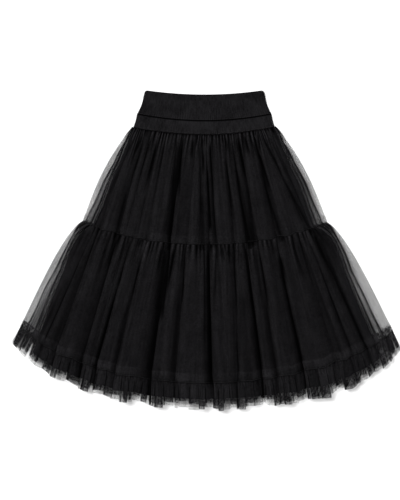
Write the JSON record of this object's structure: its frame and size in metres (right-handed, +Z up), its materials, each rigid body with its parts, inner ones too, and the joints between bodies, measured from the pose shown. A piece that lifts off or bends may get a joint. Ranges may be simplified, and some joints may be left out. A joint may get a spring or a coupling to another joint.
{
  "type": "tiered tulle skirt",
  "caption": "Black midi skirt laid flat: ribbed knit waistband and yoke, gathered tulle tiers over a matte lining, and a pleated tulle ruffle at the hem.",
  "frame": {"origin": "on the surface the skirt lies on, under the middle of its bounding box", "axes": "+X from the left to the right of the skirt as it is seen from above, +Y from the hem to the waist, +Z up from the surface to the front of the skirt"},
  "size_m": [0.973, 0.8036, 0.0332],
  "materials": {
    "ribbed_knit": "matte ribbed knit",
    "tulle": "fine soft net",
    "lining_cloth": "matte plain weave"
  },
  "bodies": {
    "root": {"waistband_front": "ribbed_knit", "waistband_back": "ribbed_knit", "yoke_front": "ribbed_knit", "yoke_back": "ribbed_knit", "upper_tier_front": "tulle", "upper_tier_back": "tulle", "lower_tier_front": "tulle", "lower_tier_back": "tulle", "hem_ruffle_front": "tulle", "hem_ruffle_back": "tulle", "lining_front": "lining_cloth", "lining_back": "lining_cloth"}
  },
  "joints": []
}
